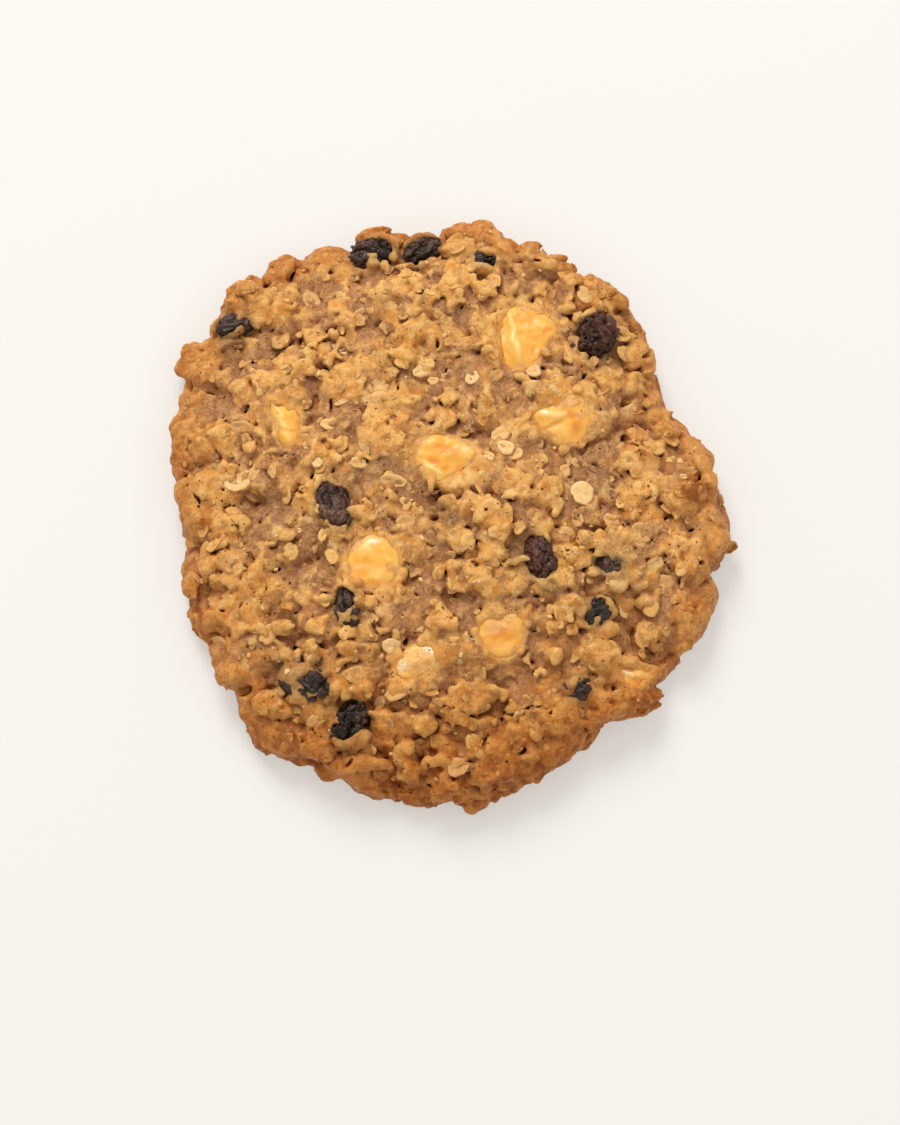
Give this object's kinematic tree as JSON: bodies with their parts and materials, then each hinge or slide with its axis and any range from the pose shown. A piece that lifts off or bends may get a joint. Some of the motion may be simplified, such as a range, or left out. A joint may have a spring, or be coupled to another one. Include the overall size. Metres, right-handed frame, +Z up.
{
  "type": "oatmeal raisin cookie",
  "caption": "Thick round home-style oat biscuit with a craggy domed crown, an uneven browned rim, dark raisins and pale melted chips set in the top, and a flat underside.",
  "frame": {"origin": "middle of the cookie's footprint, on the flat underside it rests on", "axes": "+Z up through the thickness, from the flat underside to the domed crown; +Y along the longer way across, towards the edge that carries three raisins side by side; +X to the right of that, seen from above"},
  "size_m": [0.1005, 0.1094, 0.0174],
  "materials": {
    "dough": "rough, crumbly, golden brown with darker browned rim and oat lumps",
    "raisin": "wrinkled skin with a low sheen, near black to maroon brown",
    "chip": "smooth waxy cream yellow with toasted orange patches"
  },
  "bodies": {
    "root": {"cookie_dough": "dough", "raisin_01": "raisin", "raisin_02": "raisin", "raisin_03": "raisin", "raisin_04": "raisin", "raisin_05": "raisin", "raisin_06": "raisin", "raisin_07": "raisin", "raisin_08": "raisin", "raisin_09": "raisin", "raisin_10": "raisin", "raisin_11": "raisin", "raisin_12": "raisin", "raisin_13": "raisin", "chip_01": "chip", "chip_02": "chip", "chip_03": "chip", "chip_04": "chip", "chip_05": "chip", "chip_06": "chip", "chip_07": "chip", "chip_08": "chip"}
  },
  "joints": []
}
